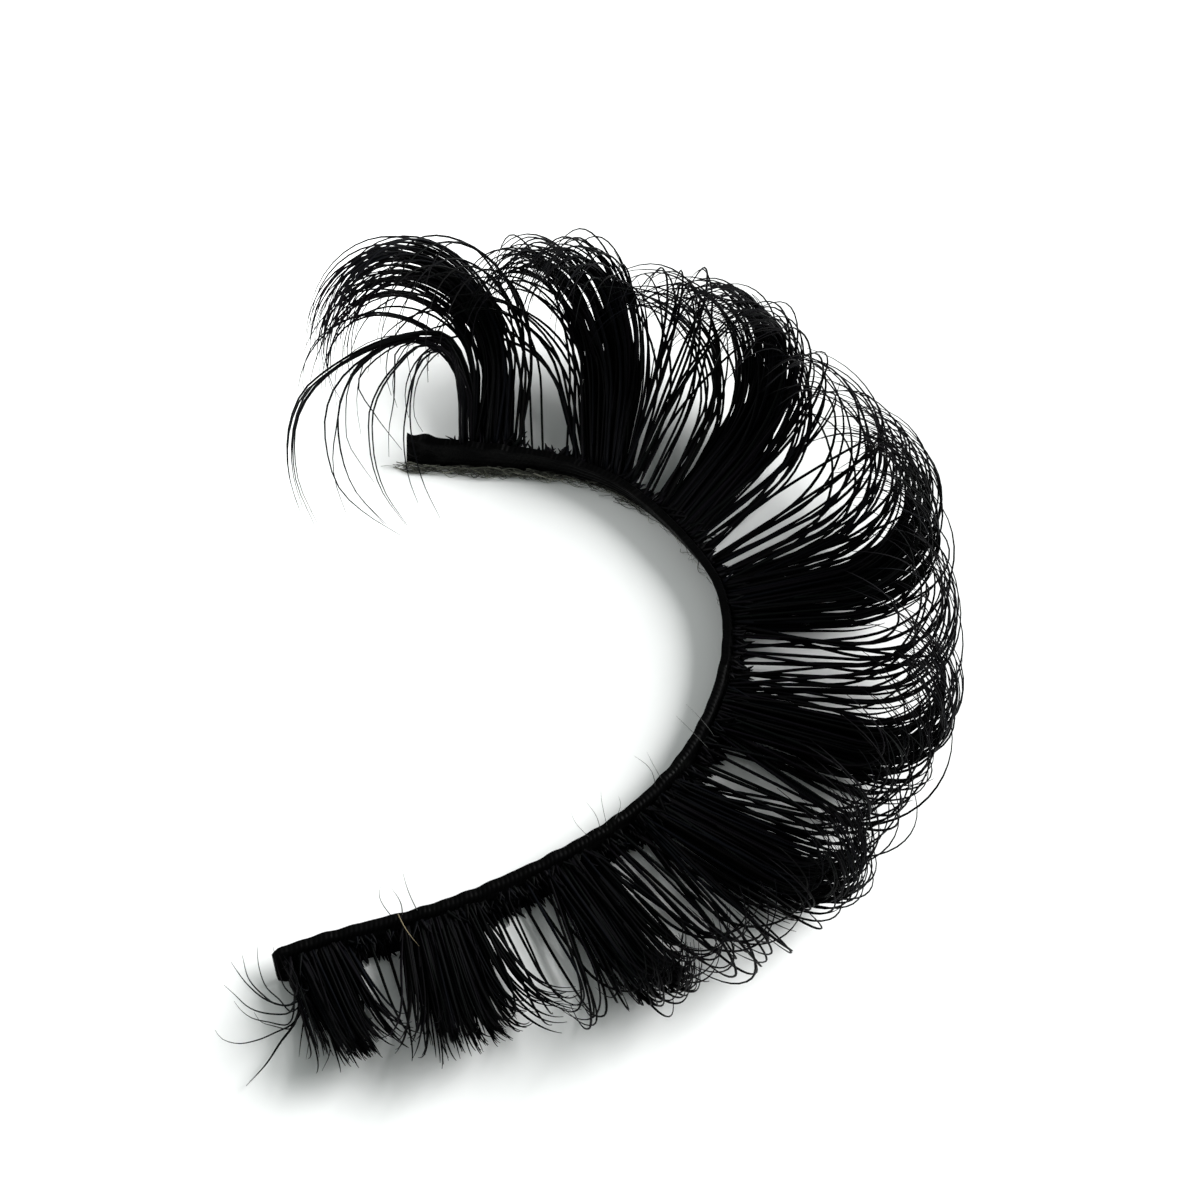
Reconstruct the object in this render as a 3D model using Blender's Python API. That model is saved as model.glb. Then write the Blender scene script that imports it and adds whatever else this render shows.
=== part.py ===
"""A false eyelash strip lying on a table.

The band is a thin ribbon bent into a C that is open to the left. Nine tufts of
lashes stand on its outer side, and a few longer or shorter lashes leave each
end as wisps. A tuft or a group of wisps is a curled wall: the outer form that
its lashes fill. +Z is up, and the origin is on the table under the middle of
the band. All lengths are in metres.
"""
import math
from collections import namedtuple

import bmesh
import bpy
from mathutils import Vector

# Driving dimensions
BAND_LENGTH = 0.0360
BAND_HEIGHT = 0.0012
BAND_THICKNESS = 0.0003
LASH_LENGTH = 0.0150
TUFT_ROOT_THICKNESS = 0.0010
TUFT_TIP_THICKNESS = 0.0006
WISP_THICKNESS = 0.0006
WISP_ROOT_WIDTH = 0.0004
CLEARANCE = 0.0003

# How finely the pieces are cut
BAND_SECTIONS = 60
ROUTE_STEPS = 240
LASH_STEPS = 48
WALL_ROWS = 16
TUFT_COLUMNS = 6
WISP_COLUMNS = 3
SMOOTH_ANGLE = math.radians(40)

# From the outer corner of the eye to the inner corner: the share of the band's
# length, its heading seen from above, and how far its top leans into the C.
BandRow = namedtuple("BandRow", "share heading lean")
BAND_ROUTE = (
    BandRow(0.00, -4, -15),
    BandRow(0.10, -4, -4),
    BandRow(0.18, -21, 8),
    BandRow(0.25, -44, 16),
    BandRow(0.32, -56, 18),
    BandRow(0.40, -85, 18),
    BandRow(0.50, -110, 18),
    BandRow(0.60, -131, 19),
    BandRow(0.70, -148, 20),
    BandRow(0.80, -155, 20),
    BandRow(0.90, -165, 18),
    BandRow(1.00, -158, 15),
)

# One row for each tuft. share and root_half are shares of the band's length,
# and length is a share of LASH_LENGTH. lift is the angle at which the lash
# leaves the band and curl how far it turns by its tip, after a straight first
# share of its length. It leans towards the outer corner by root_side at its
# root and by tip_side at its tip.
TuftRow = namedtuple("TuftRow", "share root_half length lift curl root_side tip_side straight")
TUFTS = (
    TuftRow(0.080, 0.030, 0.96, 16, 212, 2, 42, 0.24),
    TuftRow(0.187, 0.027, 0.77, 10, 142, 18, 16, 0.22),
    TuftRow(0.272, 0.028, 0.76, 6, 140, 12, 14, 0.25),
    TuftRow(0.375, 0.030, 0.77, 3, 140, -6, -2, 0.32),
    TuftRow(0.488, 0.034, 0.78, 2, 140, -1, 6, 0.38),
    TuftRow(0.608, 0.042, 0.76, 0, 120, 10, 7, 0.42),
    TuftRow(0.712, 0.028, 0.60, 0, 100, 2, -2, 0.42),
    TuftRow(0.836, 0.038, 0.37, 4, 40, -4, -6, 0.40),
    TuftRow(0.953, 0.030, 0.31, 4, 35, 0, 0, 0.40),
)
# The lean grows late along the first tuft and evenly along the others.
SIDE_GROWTH_FIRST = 1.5
SIDE_GROWTH_REST = 1.0
# A tuft is narrow at its root and meets its neighbours this far along. The free
# edge of the first tuft spreads to this many times its root's half width.
TUFT_MEETING_SHARE = 0.55
FREE_EDGE_SPREAD = 1.6

# The two edges of a sheet of wisps, the one near the tuft beside it and the one
# far from it. share is how far along the sheet a row is, and each point is given
# as shares of LASH_LENGTH from the edge's own root on the band: towards the outer
# corner, outwards and up. rise is the angle at which the sheet leaves the band.
WispRow = namedtuple("WispRow", "share near_side near_out near_up far_side far_out far_up")
OUTER_WISP_RISE = 75
OUTER_WISPS = (
    WispRow(0.00, 0.000, 0.000, 0.035, 0.000, 0.000, 0.035),
    WispRow(0.12, -0.001, 0.030, 0.160, 0.004, 0.041, 0.160),
    WispRow(0.25, 0.013, 0.053, 0.240, 0.049, 0.082, 0.253),
    WispRow(0.36, 0.033, 0.057, 0.273, 0.131, 0.070, 0.307),
    WispRow(0.50, 0.065, 0.013, 0.287, 0.236, -0.002, 0.327),
    WispRow(0.64, 0.085, -0.067, 0.267, 0.302, -0.096, 0.293),
    WispRow(0.76, 0.088, -0.151, 0.233, 0.317, -0.176, 0.240),
    WispRow(0.90, 0.074, -0.221, 0.200, 0.304, -0.266, 0.193),
    WispRow(1.00, 0.058, -0.267, 0.180, 0.282, -0.299, 0.160),
)
INNER_WISP_RISE = 0
INNER_WISPS = (
    WispRow(0.00, 0.000, 0.000, 0.023, 0.000, 0.000, 0.023),
    WispRow(0.25, -0.006, 0.047, 0.027, -0.010, 0.027, 0.027),
    WispRow(0.45, -0.042, 0.105, 0.030, -0.040, 0.057, 0.040),
    WispRow(0.65, -0.116, 0.134, 0.040, -0.085, 0.069, 0.080),
    WispRow(0.82, -0.182, 0.133, 0.067, -0.104, 0.045, 0.133),
    WispRow(1.00, -0.218, 0.112, 0.120, -0.101, 0.011, 0.187),
)

# Near-black fibre and a slightly glossier black band
FIBRE_COLOUR = (0.010, 0.010, 0.012, 1.0)
FIBRE_ROUGHNESS = 0.45
BAND_COLOUR = (0.008, 0.008, 0.009, 1.0)
BAND_ROUGHNESS = 0.35


def clear_scene():
    for item in list(bpy.data.objects):
        bpy.data.objects.remove(item, do_unlink=True)


def column_at(rows, column, share):
    """Read a table's column at any share, on a smooth curve through its rows."""
    places = [row.share for row in rows]
    values = [getattr(row, column) for row in rows]
    share = min(max(share, places[0]), places[-1])
    span = [b - a for a, b in zip(places, places[1:])]
    slope = [(b - a) / w for a, b, w in zip(values, values[1:], span)]
    tangent = [slope[0]]
    for before, after in zip(slope, slope[1:]):
        same_way = before * after > 0
        tangent.append(2 * before * after / (before + after) if same_way else 0.0)
    tangent.append(slope[-1])
    i = max(k for k in range(len(span)) if share >= places[k])
    u = (share - places[i]) / span[i]
    start = values[i] * (2 * u**3 - 3 * u**2 + 1) + span[i] * tangent[i] * (u**3 - 2 * u**2 + u)
    end = values[i + 1] * (3 * u**2 - 2 * u**3) + span[i] * tangent[i + 1] * (u**3 - u**2)
    return start + end


def band_route():
    """The foot of the band's middle line, with the middle of the band at the origin."""
    step = BAND_LENGTH / ROUTE_STEPS
    points = [Vector((0.0, 0.0, 0.0))]
    for i in range(ROUTE_STEPS):
        heading = math.radians(column_at(BAND_ROUTE, "heading", (i + 0.5) / ROUTE_STEPS))
        points.append(points[-1] + step * Vector((math.cos(heading), math.sin(heading), 0.0)))
    middle = points[ROUTE_STEPS // 2]
    return [point - middle for point in points]


ROUTE = band_route()


def band_frame(share):
    """The band's foot at a share of its length, the way along it and the way outwards."""
    place = min(max(share, 0.0), 1.0) * ROUTE_STEPS
    i = min(int(place), ROUTE_STEPS - 1)
    foot = ROUTE[i].lerp(ROUTE[i + 1], place - i)
    heading = math.radians(column_at(BAND_ROUTE, "heading", share))
    along = Vector((math.cos(heading), math.sin(heading), 0.0))
    outward = Vector((-math.sin(heading), math.cos(heading), 0.0))
    return foot, along, outward


def root_offset(share, lift, thickness):
    """How far from the band's middle line a wall starts, clear of the leaning band."""
    lean = math.radians(column_at(BAND_ROUTE, "lean", share))
    band_reach = thickness * max(0.0, math.tan(-lean))
    wall_reach = thickness / 2 * math.sin(math.radians(lift))
    return BAND_THICKNESS / 2 + CLEARANCE + band_reach + wall_reach


def lash_path(share):
    """Points along the lash that would grow at this share of the band."""
    length, lift, curl, root_side, tip_side, straight = (
        column_at(TUFTS, name, share)
        for name in ("length", "lift", "curl", "root_side", "tip_side", "straight")
    )
    nearness = min(max((TUFTS[1].share - share) / (TUFTS[1].share - TUFTS[0].share), 0.0), 1.0)
    growth = SIDE_GROWTH_REST + (SIDE_GROWTH_FIRST - SIDE_GROWTH_REST) * nearness
    foot, along, outward = band_frame(share)
    up = Vector((0.0, 0.0, 1.0))
    point = foot + outward * root_offset(share, lift, TUFT_ROOT_THICKNESS) + up * TUFT_ROOT_THICKNESS / 2
    points = [point]
    step = length * LASH_LENGTH / LASH_STEPS
    for i in range(LASH_STEPS):
        t = (i + 0.5) / LASH_STEPS
        rise = math.radians(lift + curl * max(0.0, (t - straight) / (1 - straight)))
        side = math.radians(root_side + (tip_side - root_side) * t**growth)
        curl_plane = math.cos(rise) * outward + math.sin(rise) * up
        points.append(points[-1] + step * (math.cos(side) * curl_plane - math.sin(side) * along))
    return points


def point_on(path, t):
    place = t * (len(path) - 1)
    i = min(int(place), len(path) - 2)
    return path[i].lerp(path[i + 1], place - i)


def make_material(name, colour, roughness):
    material = bpy.data.materials.new(name)
    material.use_nodes = True
    shader = material.node_tree.nodes["Principled BSDF"]
    shader.inputs["Base Color"].default_value = colour
    shader.inputs["Roughness"].default_value = roughness
    shader.inputs["Metallic"].default_value = 0.0
    material.diffuse_color = colour
    return material


def add_object(name, bm, material):
    mesh = bpy.data.meshes.new(name)
    bm.to_mesh(mesh)
    bm.free()
    mesh.shade_smooth()
    mesh.set_sharp_from_angle(angle=SMOOTH_ANGLE)
    item = bpy.data.objects.new(name, mesh)
    item.data.materials.append(material)
    bpy.context.scene.collection.objects.link(item)
    return item


def make_band():
    """A ribbon with a flat foot, extruded section by section along the route."""
    bm = bmesh.new()
    ring = []
    for i in range(BAND_SECTIONS + 1):
        share = i / BAND_SECTIONS
        foot, along, outward = band_frame(share)
        lean = math.radians(column_at(BAND_ROUTE, "lean", share))
        half = outward * BAND_THICKNESS / 2
        top = Vector((0.0, 0.0, BAND_HEIGHT * math.cos(lean))) - outward * BAND_HEIGHT * math.sin(lean)
        section = [foot - half, foot + half, foot + half + top, foot - half + top]
        if not ring:
            ring = [bm.verts.new(point) for point in section]
            end_face = bm.faces.new(ring)
            continue
        last_face = end_face
        extruded = bmesh.ops.extrude_face_region(bm, geom=[last_face])["geom"]
        end_face = next(part for part in extruded if isinstance(part, bmesh.types.BMFace))
        if i > 1:
            bmesh.ops.delete(bm, geom=[last_face], context="FACES_ONLY")
        new_verts = [part for part in extruded if isinstance(part, bmesh.types.BMVert)]
        ring = [min(new_verts, key=lambda v: (v.co - old.co).length) for old in ring]
        for vert, point in zip(ring, section):
            vert.co = point
    bmesh.ops.recalc_face_normals(bm, faces=bm.faces[:])
    return add_object("band", bm, make_material("band_black", BAND_COLOUR, BAND_ROUGHNESS))


def make_wall(name, rows, root_thickness, tip_thickness, material):
    """Bend a grid to the rows of points, from root to tip, and give it its thickness."""
    last_row = len(rows) - 1
    last_column = len(rows[0]) - 1
    bm = bmesh.new()
    bmesh.ops.create_grid(bm, x_segments=last_column, y_segments=last_row, size=0.5)
    weights = {}
    for vert in bm.verts:
        column = round((vert.co.x + 0.5) * last_column)
        row = round((vert.co.y + 0.5) * last_row)
        vert.co = rows[row][column]
        weights[vert.index] = 1.0 - (1.0 - tip_thickness / root_thickness) * row / last_row
    wall = add_object(name, bm, material)
    group = wall.vertex_groups.new(name="thickness")
    for index, weight in weights.items():
        group.add([index], weight, "REPLACE")
    solidify = wall.modifiers.new("thickness", "SOLIDIFY")
    solidify.thickness = root_thickness
    solidify.offset = 0.0
    solidify.use_quality_normals = True
    solidify.vertex_group = group.name
    return wall


def edge_share(tuft, seam, t):
    """Where a tuft's edge is at t along its lashes: narrow at the root, then on the seam."""
    root = tuft.share + math.copysign(tuft.root_half, seam - tuft.share)
    u = min(t / TUFT_MEETING_SHARE, 1.0)
    return root + (seam - root) * (3 * u**2 - 2 * u**3)


def draw_in_edges(rows, k):
    """Move the two edge points of row k half the clearance in, square to the edges."""
    row = list(rows[k])
    before = rows[max(k - 1, 0)]
    after = rows[min(k + 1, len(rows) - 1)]
    for edge, neighbour in ((0, 1), (-1, -2)):
        way = (after[edge] - before[edge]).normalized()
        inward = row[neighbour] - row[edge]
        inward -= way * inward.dot(way)
        row[edge] = row[edge] + inward.normalized() * CLEARANCE / 2
    return row


def make_tuft(number, outer_seam, inner_seam, material):
    """A fan of lashes, from its outer-corner seam to its inner-corner seam."""
    tuft = TUFTS[number]
    rows = []
    for k in range(WALL_ROWS + 1):
        t = k / WALL_ROWS
        first = edge_share(tuft, outer_seam, t)
        last = edge_share(tuft, inner_seam, t)
        shares = [first + (last - first) * c / TUFT_COLUMNS for c in range(TUFT_COLUMNS + 1)]
        rows.append([point_on(lash_path(share), t) for share in shares])
    rows = [draw_in_edges(rows, k) for k in range(len(rows))]
    name = f"lash_tuft_{number + 1:02d}"
    return make_wall(name, rows, TUFT_ROOT_THICKNESS, TUFT_TIP_THICKNESS, material)


def make_tufts(material):
    first, last = TUFTS[0], TUFTS[-1]
    seams = [first.share - FREE_EDGE_SPREAD * first.root_half]
    seams += [(a.share + b.share) / 2 for a, b in zip(TUFTS, TUFTS[1:])]
    seams.append(last.share + last.root_half)
    for number, (outer_seam, inner_seam) in enumerate(zip(seams, seams[1:])):
        make_tuft(number, outer_seam, inner_seam, material)


def make_wisps(name, tuft, corner, rise, table, material):
    """A sheet between the two edges that a table gives.

    It starts beside its tuft, towards the outer corner if corner is 1 and
    towards the inner corner if it is -1.
    """
    gap = CLEARANCE + WISP_ROOT_WIDTH / 2
    share = tuft.share - corner * (tuft.root_half + gap / BAND_LENGTH)
    foot, along, outward = band_frame(share)
    start = foot + outward * root_offset(share, rise, WISP_THICKNESS)
    half_root = Vector((corner * WISP_ROOT_WIDTH / 2, 0.0, 0.0))
    rows = []
    for k in range(WALL_ROWS + 1):
        near, far = (
            Vector([column_at(table, f"{edge}_{way}", k / WALL_ROWS) for way in ("side", "out", "up")])
            for edge in ("near", "far")
        )
        near = near * LASH_LENGTH - half_root
        far = far * LASH_LENGTH + half_root
        points = [near.lerp(far, c / WISP_COLUMNS) for c in range(WISP_COLUMNS + 1)]
        rows.append([start - along * p.x + outward * p.y + Vector((0.0, 0.0, p.z)) for p in points])
    return make_wall(name, rows, WISP_THICKNESS, WISP_THICKNESS, material)


def main():
    clear_scene()
    make_band()
    fibre = make_material("lash_fibre", FIBRE_COLOUR, FIBRE_ROUGHNESS)
    make_tufts(fibre)
    make_wisps("outer_corner_wisps", TUFTS[0], 1, OUTER_WISP_RISE, OUTER_WISPS, fibre)
    make_wisps("inner_corner_wisps", TUFTS[-1], -1, INNER_WISP_RISE, INNER_WISPS, fibre)


main()
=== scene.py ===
"""Looks of a false eyelash strip that lies on a pale table.

Every lash is a tapered three-sided strand that grows from the thread band. The
shapes are worked out in millimetres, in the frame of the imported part: +Z up and
the origin on the table, under the middle of the band.
"""
import math
from collections import namedtuple

import bmesh
import bpy
import numpy as np
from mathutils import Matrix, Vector


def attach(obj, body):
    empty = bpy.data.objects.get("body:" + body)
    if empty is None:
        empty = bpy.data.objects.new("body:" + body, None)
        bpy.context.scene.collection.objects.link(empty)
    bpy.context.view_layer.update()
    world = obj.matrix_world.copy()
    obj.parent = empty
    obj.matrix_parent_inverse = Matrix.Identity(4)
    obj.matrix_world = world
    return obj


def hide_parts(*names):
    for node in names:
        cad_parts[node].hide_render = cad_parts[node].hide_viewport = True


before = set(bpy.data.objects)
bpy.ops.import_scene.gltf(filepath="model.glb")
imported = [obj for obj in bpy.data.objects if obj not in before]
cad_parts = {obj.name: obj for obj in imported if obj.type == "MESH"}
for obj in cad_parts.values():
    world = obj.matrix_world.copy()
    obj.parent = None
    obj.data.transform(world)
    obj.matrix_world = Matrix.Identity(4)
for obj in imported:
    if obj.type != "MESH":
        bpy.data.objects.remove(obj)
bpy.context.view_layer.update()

MM = 0.001

# The band, in millimetres
BAND_LENGTH = 36.0
BAND_HEIGHT = 1.2
BAND_THICKNESS = 0.3
BAND_THREADS = 5
POINTS_PER_THREAD = 4
THREAD_RELIEF = 0.03
BAND_SECTIONS = 300
BAND_END_ROUND = 0.35
BAND_RIPPLE = 0.014
# The outer-corner end is lumpy with dried adhesive: how far it reaches along the
# band, how much it deepens the ripple, and how much taller its blunt head is
LUMP_REACH = 4.5
LUMP_DEPTH = 2.6
HEAD_RISE = 0.16
HEAD_REACH = 0.9
ROUTE_STEPS = 720
# How much further the soft ribbon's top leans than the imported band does, and the
# shares of its length at which this starts and over which it grows
RIBBON_DROOP = 0.55
DROOP_START = 0.35
DROOP_RUN = 0.15
# The ends are thinner than the rest, and the inner-corner end is rounded more
END_THINNESS = 0.72
OUTER_END_PINCH = 0.05
INNER_END_PINCH = 0.22

# The lashes, in millimetres
LASH_LENGTH = 15.0
LASH_RADIUS = 0.060
TIP_SHARE = 0.16
LASH_SEGMENTS = 26
STRAND_SIDES = 3
TABLE_GAP = 0.04
# The knotted ends at the band: how many, which rings of a lash they keep (every
# sixth), the shares of the band that they cover and their lengths. Between two
# tufts they have only a share of that length and point down by some degrees.
ROOT_STUBS = 1300
ROOT_STRIDE = 6
ROOT_SPAN = (0.045, 0.992)
ROOT_LENGTHS = (0.45, 1.05)
GAP_ROOT_LENGTH = 0.55
GAP_ROOT_DROP = 8
# Steps along a thread of adhesive or a stray hair
THREAD_STEPS = 9
# The height at which the middle layer of lashes leaves the band, how much steeper
# the ones above it leave (degrees a millimetre), and the lowest and highest root
ROOT_HEIGHT = 0.5
LAYER_LIFT = 4
ROOT_HEIGHTS = (0.10, 1.05)
# Above the knee the lashes press together, and none passes the two together
CROWN_KNEE = 5.4
CROWN_ROOM = 2.5

# From the outer corner of the eye to the inner corner: the share of the band's
# length, its heading seen from above, and how far its top leans into the C.
BandRow = namedtuple("BandRow", "share heading lean")
BAND_ROUTE = (
    BandRow(0.00, -4, -15),
    BandRow(0.10, -4, -4),
    BandRow(0.18, -21, 8),
    BandRow(0.25, -44, 16),
    BandRow(0.32, -56, 18),
    BandRow(0.40, -85, 18),
    BandRow(0.50, -110, 18),
    BandRow(0.60, -131, 19),
    BandRow(0.70, -148, 20),
    BandRow(0.80, -155, 20),
    BandRow(0.90, -165, 18),
    BandRow(1.00, -158, 15),
)

# One row for each tuft. share and half are shares of the band's length, length
# is a share of LASH_LENGTH, and the angles are in degrees. lift is the angle at
# which a lash leaves the band, lean how far it leans towards the outer corner,
# curl how far it turns by its tip and straight the first share that doesn't
# turn. The plane of the curl is turned towards the outer corner by twist.
# core_fan and fan spread the lean over the tuft, turn_fan spreads the twist,
# and grow is how much longer than the middle the edge towards the inner corner
# is. The last three columns are how many lashes fill the core, stop early or
# stand apart.
TuftRow = namedtuple(
    "TuftRow", "share half length lift lean curl twist straight core_fan fan turn_fan grow core short long"
)
TUFTS = (
    TuftRow(0.079, 0.024, 0.96, 16, 0, 178, 53, 0.18, -6, 2, 10, 0.13, 42, 28, 30),
    TuftRow(0.187, 0.025, 0.90, 10, 18, 158, 26, 0.22, 0, 9, 52, 0.00, 62, 34, 36),
    TuftRow(0.272, 0.025, 0.88, 6, 9, 154, 18, 0.25, -1, 13, 44, 0.00, 54, 40, 36),
    TuftRow(0.375, 0.024, 0.85, 3, -6, 150, 22, 0.31, -1, 14, 36, 0.00, 50, 40, 36),
    TuftRow(0.488, 0.027, 0.84, 2, -1, 148, 16, 0.37, -1, 13, 34, 0.00, 50, 45, 36),
    TuftRow(0.608, 0.028, 0.81, 0, 10, 135, 4, 0.38, 1, 14, 34, 0.00, 54, 50, 44),
    TuftRow(0.712, 0.026, 0.62, 0, 2, 108, -2, 0.42, 0, 13, 28, 0.00, 56, 55, 36),
    TuftRow(0.847, 0.036, 0.41, 4, -5, 48, 0, 0.38, 2, 10, 30, 0.00, 120, 80, 50),
    TuftRow(0.962, 0.029, 0.33, 4, 3, 40, 0, 0.38, 2, 8, 20, 0.00, 100, 70, 36),
)
# How wide each kind of lash spreads, in halves of the tuft's width
KIND_WIDTH = {"core": 0.55, "short": 0.95, "long": 1.1}
# Into how many locks a kind gathers, and how strongly
LOCKS = {"core": (11, 0.42), "long": (18, 0.35)}
# How many single lashes stand in the gap after each tuft, and how far from the
# tuft's middle the gap starts, in halves of the tuft's width
GAP_LASHES = (5, 12, 25, 17, 14, 15, 11, 5)
GAP_START = 0.8
# How much the lashes of one kind differ, as standard deviations: angles in
# degrees, curl and straight as shares. The chance amounts of long lashes and of
# those in the gaps are cut off at WILD deviations.
Varies = namedtuple("Varies", "lift lean curl twist straight wave hook")
CORE_VARIES = Varies(1.5, 1.5, 0.03, 5, 0.02, 2, 0)
LONG_VARIES = Varies(1.5, 3, 0.06, 11, 0.04, 4, 12)
GAP_VARIES = Varies(2, 4.5, 0.05, 26, 0, 5, 14)
WILD = 1.6

# The camera: how high it looks from, how far it stands from the middle of the
# picture on the table, and the lens. The picture is 1200 pixels wide.
CAMERA_RISE = math.radians(60)
CAMERA_DISTANCE = 300.0
CAMERA_LENS = 270.0
SENSOR_WIDTH = 36.0
PICTURE_WIDTH = 1200
PICTURE_MIDDLE = (-4.1, 4.96, 0.0)

# The long lashes at the outer corner. Each row is a lash or a few together: how
# many, their radius, the height of the arch and of the tip, and the places that
# they pass in the picture after leaving the root.
WispRow = namedtuple("WispRow", "strands radius arch tip places")
OUTER_ROOT = ((466, 452), (465, 424), (464, 390))
OUTER_WISPS = (
    WispRow(3, 0.062, 4.7, 2.4, (
        (441, 340), (400, 335), (361, 349), (329, 368), (303, 391),
        (291, 418), (287, 453), (290, 480), (299, 508),
    )),
    WispRow(2, 0.056, 4.6, 2.0, (
        (441, 342), (402, 338), (363, 352), (331, 371), (308, 395),
        (296, 420), (293, 453), (296, 480), (314, 524),
    )),
    WispRow(2, 0.055, 4.6, 1.4, (
        (438, 345), (410, 338), (384, 345), (361, 361), (347, 384),
        (339, 410), (339, 436), (352, 485), (384, 524),
    )),
    WispRow(1, 0.055, 4.5, 1.2, (
        (440, 348), (405, 342), (368, 355), (331, 395), (325, 420),
        (326, 443), (342, 492), (361, 510), (400, 535),
    )),
    WispRow(2, 0.052, 4.5, 1.3, (
        (442, 352), (425, 345), (393, 368), (377, 391), (369, 415),
        (369, 434), (372, 462), (381, 489), (405, 524),
    )),
    WispRow(1, 0.052, 4.4, 1.4, (
        (446, 352), (432, 352), (413, 379), (407, 407),
        (404, 430), (405, 457), (410, 482), (418, 503),
    )),
    WispRow(1, 0.048, 4.3, 2.6, (
        (447, 350), (439, 352), (420, 375),
        (414, 400), (415, 418), (423, 432),
    )),
    WispRow(1, 0.045, 4.4, 1.2, (
        (446, 346), (430, 350), (412, 390), (411, 430),
        (417, 462), (423, 482), (440, 518),
    )),
    WispRow(1, 0.046, 4.4, 2.5, (
        (440, 345), (410, 340), (385, 352),
        (358, 384), (374, 413), (402, 450),
    )),
    WispRow(1, 0.045, 4.4, 2.2, (
        (443, 345), (420, 340), (397, 350), (395, 374),
        (394, 400), (389, 430), (389, 457),
    )),
    WispRow(1, 0.042, 4.4, 3.2, ((443, 345), (425, 340), (407, 348), (409, 365), (412, 390))),
    WispRow(1, 0.050, 4.5, 1.8, (
        (440, 345), (400, 342), (365, 362), (342, 395),
        (337, 425), (333, 453), (335, 480), (346, 513),
    )),
    WispRow(1, 0.045, 4.5, 2.0, (
        (440, 345), (405, 340), (365, 358), (349, 385),
        (346, 418), (347, 439), (361, 464), (374, 482),
    )),
    WispRow(1, 0.042, 4.5, 3.0, (
        (440, 344), (405, 338), (372, 350),
        (358, 386), (357, 407), (361, 434),
    )),
    WispRow(1, 0.040, 4.6, 3.4, (
        (440, 343), (400, 335), (355, 350),
        (338, 366), (335, 382), (337, 408),
    )),
)
# How far a wisp's root may shift, in pixels, and how far the lashes of one row
# part: at the tip and at the middle, in millimetres
ROOT_DRIFT = 8
TIP_PARTING = 0.12
MIDDLE_PARTING = 0.07
INNER_ROOT = ((300, 968), (302, 990))
INNER_WISPS = (
    WispRow(1, 0.045, 1.0, 2.4, ((288, 1012), (274, 1014), (250, 1008), (234, 994), (224, 985))),
    WispRow(1, 0.045, 1.0, 2.8, ((288, 1006), (269, 1001), (248, 985), (237, 971), (231, 962))),
    WispRow(1, 0.042, 1.0, 2.9, ((290, 1010), (276, 1004), (262, 994), (250, 981), (242, 955))),
    WispRow(1, 0.042, 0.9, 2.8, ((290, 1004), (280, 1000), (267, 988), (259, 967), (257, 944))),
    WispRow(1, 0.042, 0.8, 2.2, ((286, 1018), (269, 1022), (250, 1017), (239, 1008), (234, 1001))),
    WispRow(1, 0.048, 0.6, 1.6, (
        (290, 1022), (278, 1031), (257, 1040),
        (234, 1043), (221, 1038), (215, 1030),
    )),
    WispRow(1, 0.060, 0.4, 0.3, ((292, 1020), (282, 1040), (266, 1064), (246, 1086))),
    WispRow(1, 0.036, 0.7, 1.4, ((288, 1024), (274, 1026), (260, 1021), (254, 1012))),
    WispRow(1, 0.040, 1.2, 2.2, ((296, 1002), (287, 990), (280, 976), (276, 962), (273, 946))),
    WispRow(1, 0.040, 1.1, 1.9, ((298, 998), (292, 981), (285, 969), (279, 955))),
    WispRow(1, 0.038, 1.1, 1.7, ((300, 990), (297, 978), (290, 965), (283, 955))),
    WispRow(1, 0.040, 0.4, 0.2, ((303, 1020), (301, 1040), (299, 1057))),
    WispRow(1, 0.040, 0.4, 0.2, ((308, 1020), (309, 1040), (306, 1060))),
    WispRow(1, 0.040, 0.4, 0.2, ((320, 1030), (330, 1052), (322, 1071))),
    WispRow(1, 0.040, 0.4, 0.2, ((322, 1025), (338, 1045), (346, 1061))),
)

# Threads of dried adhesive along the foot of the band's inner face, and hairs
# caught in it. Each row gives the share of the band at which the threads start
# and end, how many there are, and their greatest length and radius. They sway
# sideways, rise and scatter by up to these lengths, in millimetres.
ThreadRow = namedtuple("ThreadRow", "start end count length radius")
GLUE_SWAY = 0.22
GLUE_RISE = 0.26
GLUE_SCATTER = 0.12
GLUE_THREADS = (
    ThreadRow(0.000, 0.140, 150, 1.9, 0.016),
    ThreadRow(0.120, 0.230, 60, 1.5, 0.012),
    ThreadRow(0.230, 0.400, 24, 1.1, 0.010),
    ThreadRow(0.600, 0.930, 40, 1.0, 0.010),
)
# Stray hairs: where each starts and ends in the picture, its two heights and radius
HairRow = namedtuple("HairRow", "start end low high radius")
STRAY_HAIRS = (
    HairRow((418, 912), (402, 868), 1.0, 2.0, 0.022),
    HairRow((402, 916), (391, 888), 1.0, 1.6, 0.020),
    HairRow((393, 918), (381, 886), 1.0, 1.6, 0.018),
    HairRow((600, 830), (586, 802), 1.0, 1.9, 0.012),
    HairRow((607, 826), (601, 790), 1.0, 2.2, 0.012),
    HairRow((589, 837), (571, 812), 1.0, 1.7, 0.010),
    HairRow((614, 821), (618, 796), 1.0, 1.9, 0.010),
    HairRow((655, 788), (634, 756), 1.0, 2.2, 0.012),
    HairRow((662, 780), (647, 752), 1.0, 2.2, 0.010),
    HairRow((708, 748), (676, 716), 1.0, 2.0, 0.012),
    HairRow((714, 736), (686, 704), 1.0, 2.0, 0.010),
)
TAN_HAIR = HairRow((398, 914), (419, 946), 1.06, 1.14, 0.022)

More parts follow.
